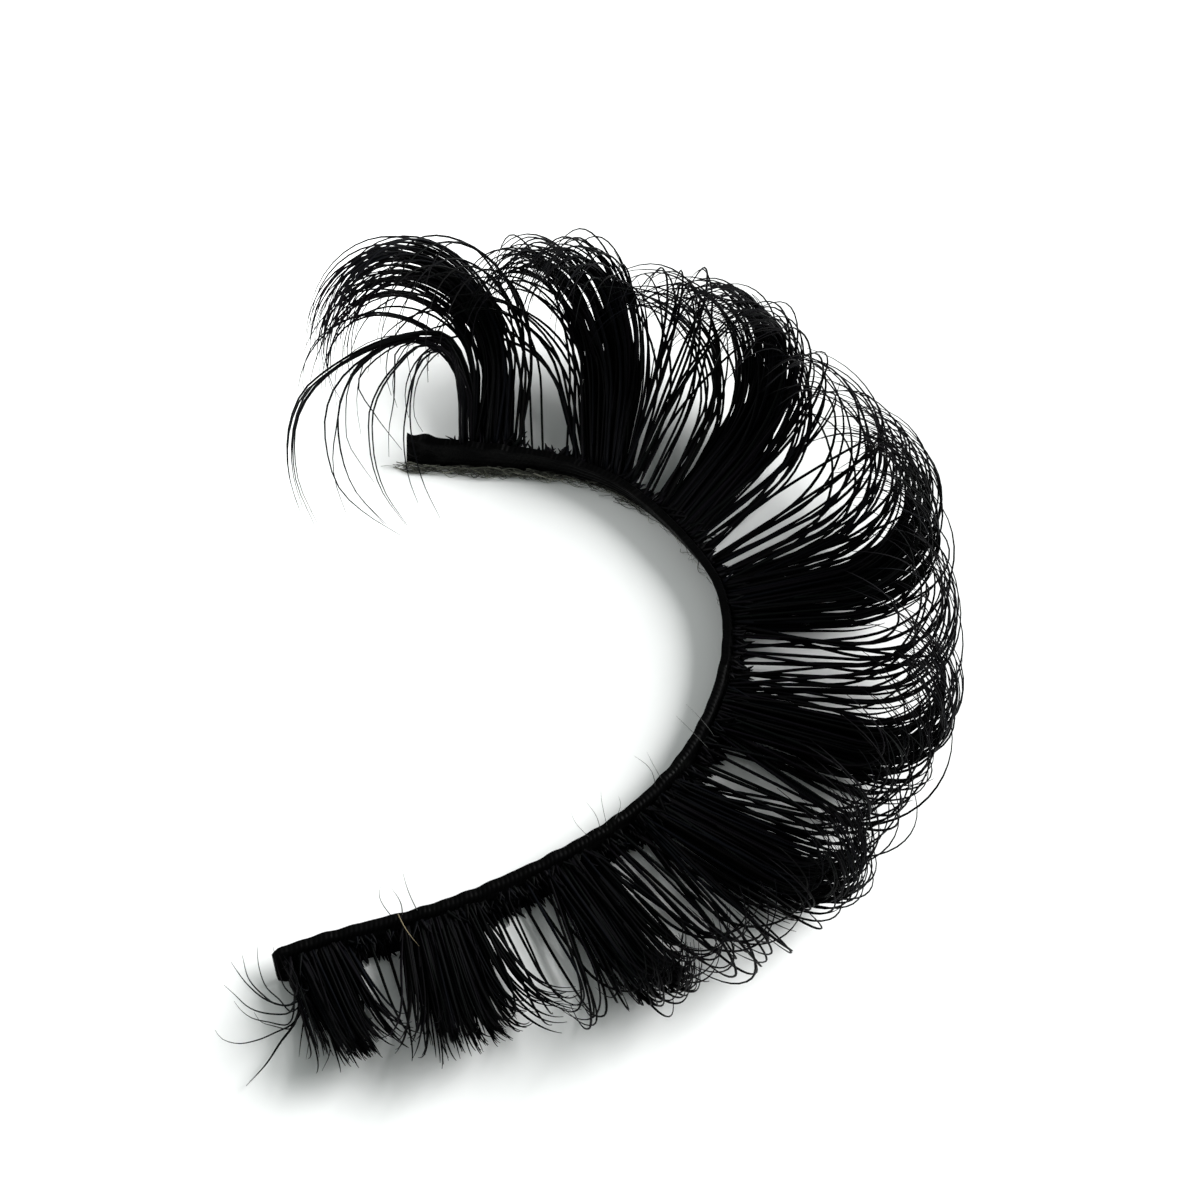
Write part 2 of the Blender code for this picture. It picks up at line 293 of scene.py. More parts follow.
# Light: the room's strength, the key's in watts a square metre, and the fill's
# power in watts and its place, target and size in millimetres
ROOM_TONE = (0.935, 1.0, 0.97, 1)
ROOM_STRENGTH = 0.33
KEY_STRENGTH = 7.5
KEY_WIDTH = math.radians(45)
KEY_WAY = (-0.80, -0.26, -0.44)
FILL_POWER = 0.0019
FILL_PLACE = (-19.5, 14.5, 10.0)
FILL_TARGET = (-9.5, 8.0, 0.0)
FILL_SIZE = 9.0

# Tones
FIBRE_TINTS = (
    (0.00, (0.0012, 0.0015, 0.0028, 1)),
    (0.35, (0.0014, 0.0014, 0.0014, 1)),
    (0.70, (0.0020, 0.0015, 0.0026, 1)),
    (1.00, (0.0014, 0.0022, 0.0018, 1)),
)
GLUE_TINTS = (
    (0.00, (0.020, 0.020, 0.017, 1)),
    (0.60, (0.060, 0.064, 0.050, 1)),
    (0.88, (0.190, 0.195, 0.155, 1)),
    (1.00, (0.420, 0.410, 0.350, 1)),
)
BAND_TINTS = (
    (0.30, (0.0006, 0.0006, 0.0008, 1)),
    (0.62, (0.0010, 0.0010, 0.0010, 1)),
    (0.80, (0.0030, 0.0034, 0.0030, 1)),
)
HAIR_TINTS = ((0.0, (0.012, 0.012, 0.012, 1)), (1.0, (0.075, 0.080, 0.075, 1)))
TAN_TINTS = ((0.0, (0.16, 0.13, 0.075, 1)), (1.0, (0.20, 0.165, 0.10, 1)))
TABLE_TONE = (0.93, 0.94, 0.935, 1)


def read_column(rows, column, shares):
    """Read a table's column at many shares, on a smooth curve through its rows."""
    places = np.array([row.share for row in rows], float)
    values = np.array([getattr(row, column) for row in rows], float)
    span = np.diff(places)
    slope = np.diff(values) / span
    tangent = np.zeros(len(places))
    tangent[0], tangent[-1] = slope[0], slope[-1]
    same_way = slope[:-1] * slope[1:] > 0
    before, after = slope[:-1][same_way], slope[1:][same_way]
    tangent[1:-1][same_way] = 2 * before * after / (before + after)
    shares = np.clip(shares, places[0], places[-1])
    i = np.clip(np.searchsorted(places, shares, side="right") - 1, 0, len(span) - 1)
    u = (shares - places[i]) / span[i]
    start = values[i] * (2 * u**3 - 3 * u**2 + 1) + span[i] * tangent[i] * (u**3 - 2 * u**2 + u)
    end = values[i + 1] * (3 * u**2 - 2 * u**3) + span[i] * tangent[i + 1] * (u**3 - u**2)
    return start + end


def band_route():
    """The foot of the band's middle line, with the middle of the band at the origin."""
    middles = (np.arange(ROUTE_STEPS) + 0.5) / ROUTE_STEPS
    heading = np.radians(read_column(BAND_ROUTE, "heading", middles))
    steps = np.stack([np.cos(heading), np.sin(heading)], axis=1) * BAND_LENGTH / ROUTE_STEPS
    points = np.concatenate([np.zeros((1, 2)), np.cumsum(steps, axis=0)])
    return points - points[ROUTE_STEPS // 2]


ROUTE = band_route()
UP = np.array([0.0, 0.0, 1.0])


def band_frame(shares):
    """The band's foot at each share, the way along it, the way outwards and its lean."""
    shares = np.clip(np.asarray(shares, float), 0.0, 1.0)
    places = np.arange(ROUTE_STEPS + 1) / ROUTE_STEPS
    foot = np.stack([np.interp(shares, places, ROUTE[:, k]) for k in (0, 1)] + [0 * shares], axis=-1)
    heading = np.radians(read_column(BAND_ROUTE, "heading", shares))
    lean = np.radians(read_column(BAND_ROUTE, "lean", shares))
    along = np.stack([np.cos(heading), np.sin(heading), 0 * shares], axis=-1)
    outward = np.stack([-np.sin(heading), np.cos(heading), 0 * shares], axis=-1)
    return foot, along, outward, lean


def root_points(shares, heights):
    """Where lashes leave the band's outer face, a little inside it."""
    foot, along, outward, lean = band_frame(shares)
    reach = BAND_THICKNESS * 0.4 - heights * np.sin(lean)
    root = foot + outward * reach[:, None] + UP * (heights * np.cos(lean))[:, None]
    return root, along, outward


def grow_lashes(shares, heights, lashes):
    """Centre lines of lashes, each curled in its own plane from its place on the band."""
    point, along, outward = root_points(shares, heights)
    lift, lean, twist = (np.radians(lashes[key])[:, None] for key in ("lift", "lean", "twist"))
    raised = np.cos(lift) * outward + np.sin(lift) * UP
    ahead = np.cos(lean) * raised - np.sin(lean) * along
    aside = -np.cos(lean) * along - np.sin(lean) * raised
    above = np.cos(lift) * UP - np.sin(lift) * outward
    towards = np.cos(twist) * above + np.sin(twist) * aside
    across = np.cross(ahead, towards)
    points = [point]
    step = (lashes["length"] * lashes["reach"] / LASH_SEGMENTS)[:, None]
    for i in range(LASH_SEGMENTS):
        t = lashes["reach"] * (i + 0.5) / LASH_SEGMENTS
        bend = np.clip((t - lashes["straight"]) / (1 - lashes["straight"]), 0, None)
        hook = lashes["hook"] * np.clip((t - 0.7) / 0.3, 0, None)
        angle = np.radians(lashes["curl"] * bend + hook)[:, None]
        swing = np.radians(lashes["wave"] * np.sin(2 * np.pi * (lashes["waves"] * t + lashes["phase"])))
        swing = (swing * t)[:, None]
        way = np.cos(angle) * ahead + np.sin(angle) * towards
        point = point + step * (np.cos(swing) * way + np.sin(swing) * across)
        points.append(point)
    return settle(np.stack(points, axis=1)), along


def settle(paths):
    """Keep lashes off the table, and press together those above the knee."""
    height = paths[:, :, 2]
    over = np.maximum(height - CROWN_KNEE, 0)
    height = np.minimum(height, CROWN_KNEE) + CROWN_ROOM * np.tanh(over / CROWN_ROOM)
    paths[:, :, 2] = np.maximum(height, TABLE_GAP)
    return paths


def gather(paths, places, clumps, strength, rng):
    """Pull the lashes' outer halves towards a few guides, so that they part into locks."""
    centres = np.sort(rng.uniform(places.min(), places.max(), clumps))
    guide_of = np.array([np.argmin(np.abs(places - c)) for c in centres])
    nearest = np.argmin(np.abs(places[:, None] - centres[None, :]), axis=1)
    guides = paths[guide_of[nearest]]
    t = np.linspace(0, 1, paths.shape[1])
    pull = np.clip((t - 0.2) / 0.8, 0, 1) ** 1.2
    own = strength * rng.uniform(0.2, 1.0, len(paths))
    return paths + (guides - paths) * (pull[None, :] * own[:, None])[:, :, None]


def taper(count, rings, radius, rng):
    """A lash's radius from root to tip, a little different for each."""
    t = np.linspace(0, 1, rings)
    shape = 1 - (1 - TIP_SHARE) * t**2.4
    return radius * rng.uniform(0.82, 1.15, count)[:, None] * shape[None, :]


def add_strands(name, paths, radii, side, tints, material):
    """One mesh of three-sided strands. side is roughly square to each strand's own curve."""
    count, rings = paths.shape[:2]
    way = np.gradient(paths, axis=1)
    way /= np.maximum(np.linalg.norm(way, axis=2, keepdims=True), 1e-9)
    first = side - way * (side * way).sum(axis=2, keepdims=True)
    first /= np.maximum(np.linalg.norm(first, axis=2, keepdims=True), 1e-9)
    second = np.cross(way, first)
    corners = np.arange(STRAND_SIDES) * 2 * np.pi / STRAND_SIDES
    ring = (
        first[:, :, None, :] * np.cos(corners)[None, None, :, None]
        + second[:, :, None, :] * np.sin(corners)[None, None, :, None]
    )
    points = (paths[:, :, None, :] + ring * radii[:, :, None, None]).reshape(-1, 3) * MM
    points[:, 2] = np.maximum(points[:, 2], 0.0)
    per_strand = rings * STRAND_SIDES
    k = np.arange(STRAND_SIDES)
    after = (k + 1) % STRAND_SIDES
    rows = np.arange(rings - 1)[:, None] * STRAND_SIDES
    quads = np.stack(
        [rows + k, rows + after, rows + STRAND_SIDES + after, rows + STRAND_SIDES + k], axis=-1
    ).reshape(-1, 4)
    caps = np.array([k[::-1], per_strand - STRAND_SIDES + k])
    starts = np.arange(count)[:, None, None] * per_strand
    quads = (quads[None] + starts).reshape(-1, 4)
    caps = (caps[None] + starts).reshape(-1, STRAND_SIDES)
    mesh = bpy.data.meshes.new(name)
    mesh.vertices.add(len(points))
    mesh.vertices.foreach_set("co", points.astype(np.float32).ravel())
    mesh.loops.add(quads.size + caps.size)
    mesh.loops.foreach_set("vertex_index", np.concatenate([quads.ravel(), caps.ravel()]).astype(np.int32))
    mesh.polygons.add(len(quads) + len(caps))
    quad_starts = np.arange(len(quads)) * 4
    cap_starts = quads.size + np.arange(len(caps)) * STRAND_SIDES
    mesh.polygons.foreach_set("loop_start", np.concatenate([quad_starts, cap_starts]).astype(np.int32))
    mesh.update(calc_edges=True)
    mesh.validate()
    tint = mesh.attributes.new("strand_tint", "FLOAT", "POINT")
    tint.data.foreach_set("value", np.repeat(tints, per_strand).astype(np.float32))
    grown = mesh.attributes.new("strand_grown", "FLOAT", "POINT")
    share = np.repeat(np.linspace(0, 1, rings), STRAND_SIDES)
    grown.data.foreach_set("value", np.tile(share, count).astype(np.float32))
    mesh.shade_smooth()
    mesh.materials.append(material)
    item = bpy.data.objects.new(name, mesh)
    bpy.context.scene.collection.objects.link(item)
    return item


def spread(rng, size, n):
    """Chance amounts about zero, with the few wild ones held back."""
    return size * np.clip(rng.normal(0, 1, n), -WILD, WILD)


def lash_values(row, x, rng, kind):
    """The angles and lengths of one kind of lash in a tuft, at places x from -1 to 1."""
    n = len(x)
    core, long = CORE_VARIES, LONG_VARIES
    longer = 1 + row.grow * np.minimum(x, 0.5)
    values = {
        "reach": np.ones(n),
        "lift": row.lift + rng.normal(0, core.lift, n),
        "lean": row.lean - row.core_fan * x + rng.normal(0, core.lean, n),
        "curl": row.curl * rng.normal(1, core.curl, n),
        "twist": row.twist - 0.3 * row.turn_fan * x + rng.normal(0, core.twist, n),
        "straight": row.straight + rng.normal(0, core.straight, n),
        "length": row.length * LASH_LENGTH * longer * rng.uniform(0.88, 1.0, n),
        "wave": rng.normal(0, core.wave, n),
        "waves": rng.uniform(0.6, 1.4, n),
        "phase": rng.uniform(0, 1, n),
        "hook": np.zeros(n),
    }
    if kind == "short":
        values["reach"] = rng.uniform(0.35, 0.8, n)
        values["lean"] = values["lean"] + rng.normal(0, 3, n)
    if kind == "long":
        values["lean"] = row.lean - row.fan * x + spread(rng, long.lean, n)
        values["twist"] = row.twist - row.turn_fan * x + spread(rng, long.twist, n)
        values["curl"] = row.curl * (1.03 + spread(rng, long.curl, n))
        values["straight"] = row.straight + spread(rng, long.straight, n)
        values["length"] = values["length"] * rng.uniform(0.92, 1.02, n)
        values["wave"] = spread(rng, long.wave, n)
        values["hook"] = 8 + spread(rng, long.hook, n)
    values["straight"] = np.clip(values["straight"], 0.03, 0.7)
    return values


def make_piece(name, node, paths, sides, radius, material, rng):
    """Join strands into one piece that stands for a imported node, or for none."""
    radii = taper(len(paths), paths.shape[1], radius, rng)
    tints = rng.uniform(0, 1, len(paths))
    item = add_strands(name, paths, radii, sides, tints, material)
    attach(item, "root")
    if node:
        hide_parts(node)
    return item


def gap_lashes(number, rng):
    """Single lashes that stand between a tuft and the next one and lean both ways."""
    before, after = TUFTS[number], TUFTS[number + 1]
    n = GAP_LASHES[number]
    start, end = before.share + before.half * GAP_START, after.share - after.half * GAP_START
    shares = start + (end - start) * (np.arange(n) + rng.uniform(0.1, 0.9, n)) / n
    middle = (shares - start) / (end - start) - 0.5
    columns = ("lift", "curl", "straight", "lean", "twist", "length")
    values = {column: read_column(TUFTS, column, shares) for column in columns}
    values["reach"] = np.ones(n)
    values["length"] = values["length"] * LASH_LENGTH * rng.uniform(0.86, 0.97, n)
    values["lean"] = values["lean"] - 8 * middle + spread(rng, GAP_VARIES.lean, n)
    values["twist"] = values["twist"] + spread(rng, GAP_VARIES.twist, n)
    values["lift"] = values["lift"] + spread(rng, GAP_VARIES.lift, n)
    values["curl"] = values["curl"] * (1.02 + spread(rng, GAP_VARIES.curl, n))
    values["wave"] = spread(rng, GAP_VARIES.wave, n)
    values["waves"] = rng.uniform(0.5, 1.1, n)
    values["phase"] = rng.uniform(0, 1, n)
    values["hook"] = 9 + spread(rng, GAP_VARIES.hook, n)
    paths, along = grow_lashes(shares, rng.uniform(0.2, 1.0, n), values)
    return paths, np.broadcast_to(along[:, None, :], paths.shape)


def make_tuft(number, material):
    """A tuft: its dense core, the lashes that stop early, the long ones and the gap's."""
    row = TUFTS[number]
    rng = np.random.default_rng(100 + number)
    paths, sides = [], []
    for kind, count in (("core", row.core), ("short", row.short), ("long", row.long)):
        width = KIND_WIDTH[kind]
        x = rng.uniform(-width, width, count)
        heights = rng.uniform(*ROOT_HEIGHTS, count)
        values = lash_values(row, x, rng, kind)
        values["lift"] = values["lift"] + (heights - ROOT_HEIGHT) * LAYER_LIFT
        grown, along = grow_lashes(row.share + row.half * x, heights, values)
        if kind in LOCKS:
            grown = gather(grown, x, *LOCKS[kind], rng)
        paths.append(grown)
        sides.append(np.broadcast_to(along[:, None, :], grown.shape))
    if number < len(GAP_LASHES):
        grown, side = gap_lashes(number, rng)
        paths.append(grown)
        sides.append(side)
    paths, sides = np.concatenate(paths), np.concatenate(sides)
    node = f"lash_tuft_{number + 1:02d}"
    make_piece(f"lashes_{number + 1:02d}", node, paths, sides, LASH_RADIUS, material, rng)


def make_glue_threads(material):
    """Fine threads of adhesive that cling to the foot of the band's inner face."""
    rng = np.random.default_rng(51)
    paths, radii = [], []
    steps = np.linspace(0, 1, THREAD_STEPS + 1)
    for row in GLUE_THREADS:
        for _ in range(row.count):
            length = row.length * rng.uniform(0.25, 1.0)
            start = rng.uniform(row.start, row.end) - 0.5 * length / BAND_LENGTH
            shares = start + steps * length / BAND_LENGTH
            foot, along, outward, lean = band_frame(shares)
            past_end = np.minimum(shares, 0)[:, None] * BAND_LENGTH * along
            sway = rng.uniform(0.1, 1.0) * GLUE_SWAY
            swing = sway * np.sin(2 * np.pi * (steps * rng.uniform(0.3, 1.1) + rng.uniform()))
            reach = -BAND_THICKNESS / 2 - 0.03 + np.minimum(swing, 0.05) - rng.uniform(0, GLUE_SCATTER)
            rise = rng.uniform(0, GLUE_RISE) * (1 + 0.5 * np.sin(5 * steps + rng.uniform(0, 6)))
            height = TABLE_GAP + rise
            paths.append(foot + past_end + outward * reach[:, None] + UP * height[:, None])
            radii.append(row.radius * rng.uniform(0.6, 1.3))
    paths = np.array(paths)
    sides = np.broadcast_to(UP, paths.shape)
    widths = taper(len(paths), paths.shape[1], 1.0, rng) * np.array(radii)[:, None]
    item = add_strands("glue_threads", paths, widths, sides, rng.uniform(0, 1, len(paths)), material)
    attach(item, "root")


def make_hairs(name, rows, material):
    """Stray hairs that stand up from the band's top edge."""
    rng = np.random.default_rng(61)
    steps = np.linspace(0, 1, THREAD_STEPS + 1)[:, None]
    paths, radii = [], []
    for row in rows:
        start, end = from_picture(row.start, row.low), from_picture(row.end, row.high)
        bow = np.array([rng.normal(0, 0.12), rng.normal(0, 0.05), 0.1]) * np.sin(np.pi * steps)
        paths.append(start + (end - start) * steps + bow)
        radii.append(row.radius)
    paths = np.array(paths)
    sides = np.broadcast_to(np.array([0.6, 0.3, 0.7]), paths.shape)
    widths = taper(len(paths), paths.shape[1], 1.0, rng) * np.array(radii)[:, None]
    item = add_strands(name, paths, widths, sides, rng.uniform(0, 1, len(paths)), material)
    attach(item, "root")


def make_roots(material):
    """The short crossing ends of the lashes, knotted round the band's threads."""
    rng = np.random.default_rng(41)
    n = ROOT_STUBS
    shares = rng.uniform(*ROOT_SPAN, n)
    heights = rng.uniform(0.08, 1.12, n)
    values = {
        "lift": rng.normal(2, 10, n),
        "lean": rng.normal(0, 20, n),
        "curl": rng.normal(10, 15, n),
        "twist": rng.normal(0, 60, n),
        "straight": np.full(n, 0.2),
        "length": rng.uniform(*ROOT_LENGTHS, n),
        "reach": np.ones(n),
        "wave": rng.normal(0, 8, n),
        "waves": np.ones(n),
        "phase": rng.uniform(0, 1, n),
        "hook": np.zeros(n),
    }
    in_tuft = np.min([np.abs(shares - row.share) / row.half for row in TUFTS], axis=0) < 1
    values["length"] = values["length"] * np.where(in_tuft, 1.0, GAP_ROOT_LENGTH)
    values["lift"] = np.where(in_tuft, values["lift"], values["lift"] * 0.5 - GAP_ROOT_DROP)
    paths, along = grow_lashes(shares, heights, values)
    paths = paths[:, ::ROOT_STRIDE]
    sides = np.broadcast_to(along[:, None, :], paths.shape)
    make_piece("lash_roots", None, paths, sides, LASH_RADIUS * 1.1, material, rng)


def from_picture(place, height):
    """The point at this height that the picture shows at this place, in millimetres."""
    across = (place[0] - PICTURE_WIDTH / 2) / PICTURE_WIDTH * SENSOR_WIDTH / CAMERA_LENS
    up = (PICTURE_WIDTH / 2 - place[1]) / PICTURE_WIDTH * SENSOR_WIDTH / CAMERA_LENS
    forward = np.array([0.0, math.cos(CAMERA_RISE), -math.sin(CAMERA_RISE)])
    upward = np.array([0.0, math.sin(CAMERA_RISE), math.cos(CAMERA_RISE)])
    eye = np.array(PICTURE_MIDDLE) - forward * CAMERA_DISTANCE
    ray = forward + np.array([1.0, 0.0, 0.0]) * across + upward * up
    return eye + ray * (height - eye[2]) / ray[2]


def smooth_line(points, count):
    """A smooth curve through a few points, at even steps of its length."""
    points = np.asarray(points, float)
    knots = np.concatenate([[0], np.cumsum(np.linalg.norm(np.diff(points, axis=0), axis=1))])
    tangent = np.gradient(points, knots, axis=0)
    where = np.linspace(0, knots[-1], count)
    i = np.clip(np.searchsorted(knots, where, side="right") - 1, 0, len(points) - 2)
    span = (knots[i + 1] - knots[i])[:, None]
    u = ((where - knots[i]) / (knots[i + 1] - knots[i]))[:, None]
    start = points[i] * (2 * u**3 - 3 * u**2 + 1) + span * tangent[i] * (u**3 - 2 * u**2 + u)
    end = points[i + 1] * (3 * u**2 - 2 * u**3) + span * tangent[i + 1] * (u**3 - u**2)
    return start + end


def picture_line(places, root_height, arch, tip, arch_share):
    """A lash through places in the picture: up to its arch, then down or on to its tip."""
    places = np.array(places, float)
    run = np.concatenate([[0], np.cumsum(np.linalg.norm(np.diff(places, axis=0), axis=1))])
    share = run / run[-1]
    heights = np.where(
        share < arch_share,
        root_height + (arch - root_height) * np.sin(np.pi / 2 * np.minimum(share / arch_share, 1)),
        tip + (arch - tip) * np.cos(np.pi / 2 * np.clip((share - arch_share) / (1 - arch_share), 0, 1)),
    )
    points = [from_picture(place, height) for place, height in zip(places, heights)]
    return smooth_line(points, LASH_SEGMENTS + 1)


def make_wisps(name, node, root, rows, root_height, arch_share, material, seed):
    """Long single lashes that leave the band at one place and pass places in the picture."""
    rng = np.random.default_rng(seed)
    paths, radii = [], []
    t = np.linspace(0, 1, LASH_SEGMENTS + 1)[:, None]
    for row in rows:
        shift, sink = rng.uniform(-ROOT_DRIFT, ROOT_DRIFT, 2)
        first = row.places[0]
        start = tuple((across + shift, down) for across, down in root) + ((first[0], first[1] + sink),)
        line = picture_line(start + row.places[1:], root_height, row.arch, row.tip, arch_share)
        for k in range(row.strands):
            drift = rng.normal(0, TIP_PARTING, 3) * t + rng.normal(0, MIDDLE_PARTING, 3) * np.sin(np.pi * t)
            paths.append(line + drift * (k > 0))
            radii.append(row.radius)
    paths = settle(np.array(paths))
    sides = np.broadcast_to(np.array([0.35, 0.25, 0.9]), paths.shape)
    shape = taper(len(paths), paths.shape[1], 1.0, rng)
    tints = rng.uniform(0, 1, len(paths))
    item = add_strands(name, paths, shape * np.array(radii)[:, None], sides, tints, material)
    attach(item, "root")
    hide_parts(node)


def band_section():
    """Points round the band's section: across from -1 to 1 and up from 0 to 1, threads bulging."""
    points = []
    per_side = BAND_THREADS * POINTS_PER_THREAD
    for k in range(per_side + 1):
        up = k / per_side
        points.append((1.0, up, abs(math.sin(math.pi * up * BAND_THREADS))))
    points.append((0.0, 1.0, 1.0))
    for k in range(per_side, -1, -1):
        up = k / per_side
        points.append((-1.0, up, abs(math.sin(math.pi * up * BAND_THREADS))))
    points.append((0.0, 0.0, 0.0))
    return points


def make_band(material):
    """The ribbon of threads: a grid rolled round its section and bent along the route."""
    section = band_section()
    around = len(section)
    bm = bmesh.new()
    bmesh.ops.create_grid(bm, x_segments=around, y_segments=BAND_SECTIONS, size=0.5)
    layer = bm.loops.layers.uv.new("band_run")
    rng = np.random.default_rng(7)
    size, phase = rng.normal(0, 1, (4, 12))[:2]
    for face in bm.faces:
        for loop in face.loops:
            co = loop.vert.co
            loop[layer].uv = ((co.y + 0.5) * BAND_LENGTH / BAND_HEIGHT / 10, (co.x + 0.5) / 10)
    for vert in bm.verts:
        share = vert.co.y + 0.5
        side, up, bulge = section[round((vert.co.x + 0.5) * around) % around]
        foot, along, outward, lean = (value[0] for value in band_frame([share]))
        lean = lean * (1 + RIBBON_DROOP * min(max(share - DROOP_START, 0) / DROOP_RUN, 1))
        from_end = min(share, 1 - share) * BAND_LENGTH
        end = min(from_end / BAND_END_ROUND, 1.0)
        ripple = BAND_RIPPLE * sum(
            size[k] * math.sin(2 * math.pi * share * (9 + 7 * k) + phase[k]) for k in range(6)
        )
        lumps = max(1 - share * BAND_LENGTH / LUMP_REACH, 0)
        ripple *= 1 + LUMP_DEPTH * lumps
        head = HEAD_RISE * max(1 - share * BAND_LENGTH / HEAD_REACH, 0) ** 0.5
        thick = BAND_THICKNESS / 2 - THREAD_RELIEF * (1 - bulge)
        thick *= END_THINNESS + (1 - END_THINNESS) * end
        thick += ripple * lumps * math.sin(9 * up + 40 * share)
        high = (BAND_HEIGHT + head) * up + (ripple if up > 0.5 else 0)
        inset = (1 - end) ** 2 * (INNER_END_PINCH if share > 0.5 else OUTER_END_PINCH)
        high = inset * BAND_HEIGHT / 2 + high * (1 - inset)
        point = foot + outward * (side * thick - high * math.sin(lean)) + UP * high * math.cos(lean)
        vert.co = Vector(point) * MM
    bmesh.ops.remove_doubles(bm, verts=bm.verts[:], dist=1e-7)
    ends = [edge for edge in bm.edges if edge.is_boundary]
    bmesh.ops.holes_fill(bm, edges=ends, sides=0)
    bmesh.ops.recalc_face_normals(bm, faces=bm.faces[:])
    mesh = bpy.data.meshes.new("thread_band")
    bm.to_mesh(mesh)
    bm.free()
    mesh.shade_smooth()
    mesh.set_sharp_from_angle(angle=math.radians(50))
    mesh.materials.append(material)
    item = bpy.data.objects.new("thread_band", mesh)
    bpy.context.scene.collection.objects.link(item)
    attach(item, "root")
    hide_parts("band")


def add_node(tree, kind, **settings):
    """A shader node with its settings."""
    node = tree.nodes.new(kind)
    for key, value in settings.items():
        setattr(node, key, value)
    return node


def new_material(name):
    """A material with its node tree and its shader."""
    material = bpy.data.materials.new(name)
    material.use_nodes = True
    tree = material.node_tree
    return material, tree, tree.nodes["Principled BSDF"]


def fill_ramp(ramp, stops):
    """Set a colour ramp's stops, each a place and a colour."""
    elements = ramp.color_ramp.elements
    while len(elements) > 1:
        elements.remove(elements[-1])
    elements[0].position, elements[0].color = stops[0]
    for place, colour in stops[1:]:
        element = elements.new(place)
        element.color = colour


def make_fibre_material(name, tints, low_rough, high_rough, specular):
    """A satin fibre: a faint tint for each strand and a fine grain along it."""
    material, tree, shader = new_material(name)
    tint = add_node(tree, "ShaderNodeAttribute", attribute_name="strand_tint")
    ramp = add_node(tree, "ShaderNodeValToRGB")
    fill_ramp(ramp, tints)
    tree.links.new(tint.outputs["Fac"], ramp.inputs["Fac"])
    tree.links.new(ramp.outputs["Color"], shader.inputs["Base Color"])
    place = add_node(tree, "ShaderNodeTexCoord")
    grain = add_node(tree, "ShaderNodeTexNoise")
    grain.inputs["Scale"].default_value = 2600
    grain.inputs["Detail"].default_value = 3
    rough = add_node(tree, "ShaderNodeMapRange")
    rough.inputs["To Min"].default_value = low_rough
    rough.inputs["To Max"].default_value = high_rough
    tree.links.new(place.outputs["Object"], grain.inputs["Vector"])
    tree.links.new(grain.outputs["Fac"], rough.inputs["Value"])
    tree.links.new(rough.outputs["Result"], shader.inputs["Roughness"])
    shader.inputs["Specular IOR Level"].default_value = specular
    return material


def make_band_material():
    """Black cotton threads under a thin coat of adhesive, twisted along the band."""
    material, tree, shader = new_material("band_thread_black")
    run = add_node(tree, "ShaderNodeUVMap", uv_map="band_run")
    twist = add_node(tree, "ShaderNodeTexWave", wave_type="BANDS", bands_direction="DIAGONAL")
    twist.inputs["Scale"].default_value = 45
    twist.inputs["Distortion"].default_value = 1.5
    twist.inputs["Detail"].default_value = 2
    tree.links.new(run.outputs["UV"], twist.inputs["Vector"])
    place = add_node(tree, "ShaderNodeTexCoord")
    glue = add_node(tree, "ShaderNodeTexNoise")
    glue.inputs["Scale"].default_value = 900
    glue.inputs["Detail"].default_value = 4
    tree.links.new(place.outputs["Object"], glue.inputs["Vector"])
    colour = add_node(tree, "ShaderNodeValToRGB")
    fill_ramp(colour, BAND_TINTS)
    tree.links.new(glue.outputs["Fac"], colour.inputs["Fac"])
    tree.links.new(colour.outputs["Color"], shader.inputs["Base Color"])
    rough = add_node(tree, "ShaderNodeMapRange")
    rough.inputs["From Min"].default_value = 0.35
    rough.inputs["From Max"].default_value = 0.65
    rough.inputs["To Min"].default_value = 0.62
    rough.inputs["To Max"].default_value = 0.32
    tree.links.new(glue.outputs["Fac"], rough.inputs["Value"])
    tree.links.new(rough.outputs["Result"], shader.inputs["Roughness"])
    bump = add_node(tree, "ShaderNodeBump")
    bump.inputs["Strength"].default_value = 0.5
    bump.inputs["Distance"].default_value = 0.02 * MM
    tree.links.new(twist.outputs["Fac"], bump.inputs["Height"])
    tree.links.new(bump.outputs["Normal"], shader.inputs["Normal"])
    shader.inputs["Specular IOR Level"].default_value = 0.025
    return material


def make_table():
    """The plain pale table under the strip."""
    bm = bmesh.new()
    bmesh.ops.create_grid(bm, x_segments=4, y_segments=4, size=1.0)
    mesh = bpy.data.meshes.new("table")
    bm.to_mesh(mesh)
    bm.free()
    material, tree, shader = new_material("pale_table")
    place = add_node(tree, "ShaderNodeTexCoord")
    noise = add_node(tree, "ShaderNodeTexNoise")
    noise.inputs["Scale"].default_value = 180
    noise.inputs["Detail"].default_value = 4
    ramp = add_node(tree, "ShaderNodeValToRGB")
    darker = tuple(0.97 * c for c in TABLE_TONE[:3]) + (1,)
    fill_ramp(ramp, ((0.3, darker), (0.7, TABLE_TONE)))
    tree.links.new(place.outputs["Object"], noise.inputs["Vector"])
    tree.links.new(noise.outputs["Fac"], ramp.inputs["Fac"])
    tree.links.new(ramp.outputs["Color"], shader.inputs["Base Color"])
    shader.inputs["Roughness"].default_value = 0.6
    shader.inputs["Specular IOR Level"].default_value = 0.2
    mesh.materials.append(material)
    table = bpy.data.objects.new("table", mesh)
    bpy.context.scene.collection.objects.link(table)


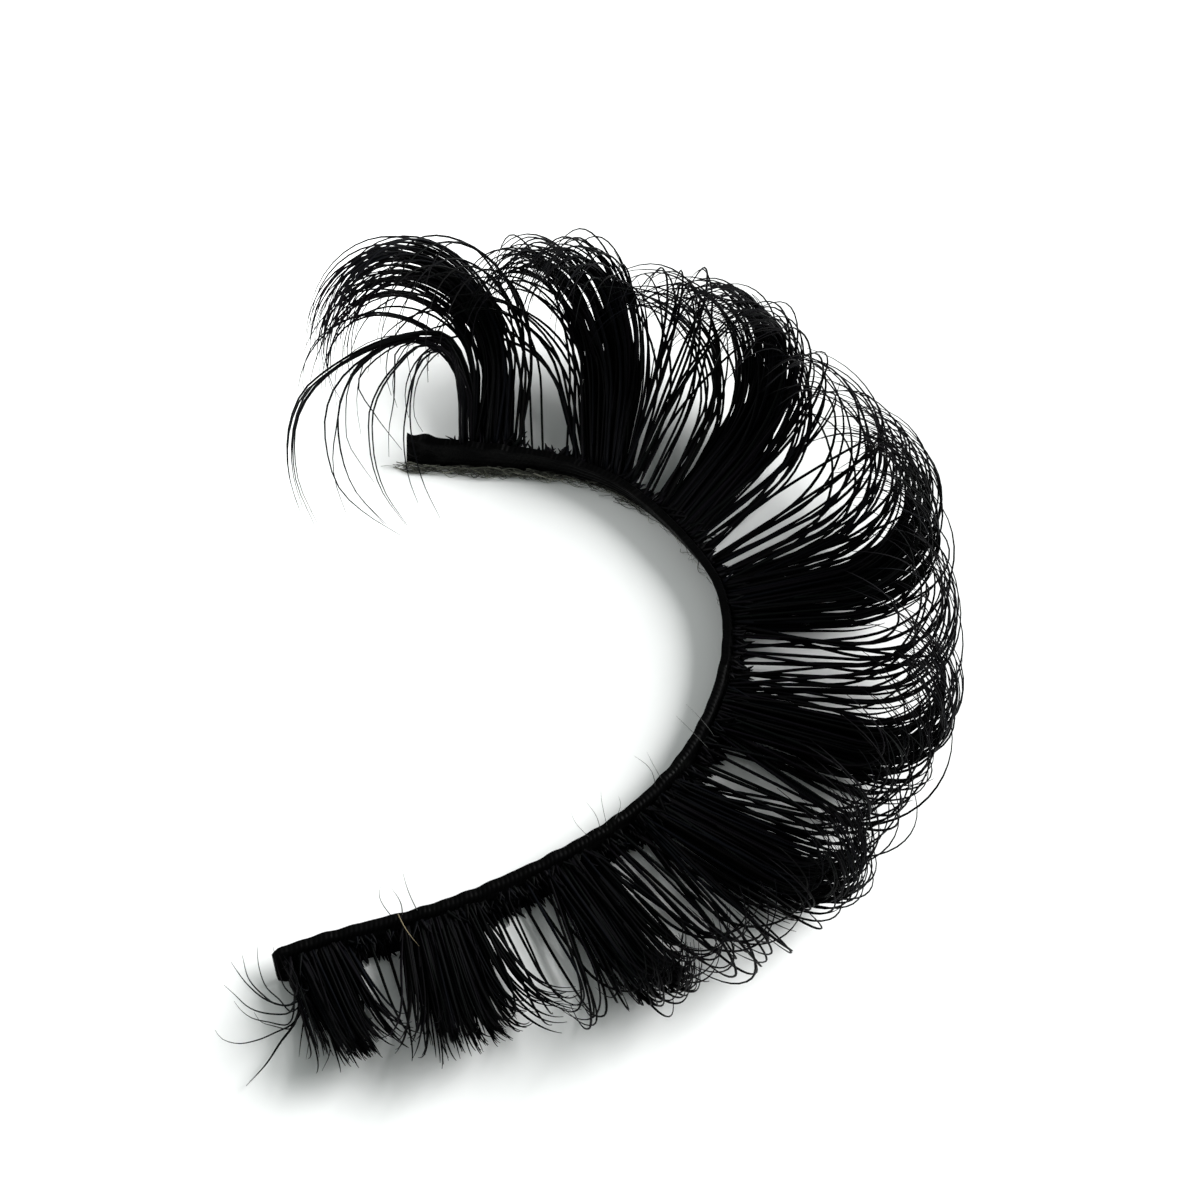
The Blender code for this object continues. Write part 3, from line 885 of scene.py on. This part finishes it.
def make_light():
    """A wide soft key from the right, a pale room and a small fill on the left."""
    world = bpy.data.worlds.new("studio")
    bpy.context.scene.world = world
    world.use_nodes = True
    background = world.node_tree.nodes["Background"]
    background.inputs["Color"].default_value = ROOM_TONE
    background.inputs["Strength"].default_value = ROOM_STRENGTH
    sun = bpy.data.lights.new("soft_key", "SUN")
    sun.energy = KEY_STRENGTH
    sun.angle = KEY_WIDTH
    lamp = bpy.data.objects.new("soft_key", sun)
    lamp.rotation_euler = Vector(KEY_WAY).to_track_quat("-Z", "Y").to_euler()
    bpy.context.scene.collection.objects.link(lamp)
    panel = bpy.data.lights.new("left_fill", "AREA")
    panel.energy = FILL_POWER
    panel.size = FILL_SIZE * MM
    fill = bpy.data.objects.new("left_fill", panel)
    place = Vector(FILL_PLACE)
    fill.location = place * MM
    fill.rotation_euler = (Vector(FILL_TARGET) - place).to_track_quat("-Z", "Y").to_euler()
    fill.visible_camera = False
    bpy.context.scene.collection.objects.link(fill)


def make_camera():
    """The camera at the photo's angle."""
    data = bpy.data.cameras.new("photo_view")
    data.lens = CAMERA_LENS
    data.sensor_width = SENSOR_WIDTH
    data.clip_start = 0.01
    data.clip_end = 10
    camera = bpy.data.objects.new("photo_view", data)
    forward = Vector((0, math.cos(CAMERA_RISE), -math.sin(CAMERA_RISE)))
    camera.location = (Vector(PICTURE_MIDDLE) - forward * CAMERA_DISTANCE) * MM
    camera.rotation_euler = (math.pi / 2 - CAMERA_RISE, 0, 0)
    bpy.context.scene.collection.objects.link(camera)
    bpy.context.scene.camera = camera


bpy.context.scene.view_settings.view_transform = "Standard"
fibre = make_fibre_material("lash_fibre_black", FIBRE_TINTS, low_rough=0.45, high_rough=0.62, specular=0.04)
glue = make_fibre_material("dried_adhesive", GLUE_TINTS, low_rough=0.35, high_rough=0.6, specular=0.3)
grey_hair = make_fibre_material("stray_fibre_grey", HAIR_TINTS, low_rough=0.45, high_rough=0.62, specular=0.1)
tan_hair = make_fibre_material("stray_fibre_tan", TAN_TINTS, low_rough=0.45, high_rough=0.62, specular=0.2)
for tuft_number in range(len(TUFTS)):
    make_tuft(tuft_number, fibre)
make_wisps(
    "outer_corner_lashes", "outer_corner_wisps", OUTER_ROOT, OUTER_WISPS,
    root_height=0.6, arch_share=0.45, material=fibre, seed=31,
)
make_wisps(
    "inner_corner_lashes", "inner_corner_wisps", INNER_ROOT, INNER_WISPS,
    root_height=0.5, arch_share=0.3, material=fibre, seed=32,
)
make_roots(fibre)
make_band(make_band_material())
make_glue_threads(glue)
make_hairs("stray_hairs", STRAY_HAIRS, grey_hair)
make_hairs("stray_tan_hair", (TAN_HAIR,), tan_hair)
make_table()
make_light()
make_camera()
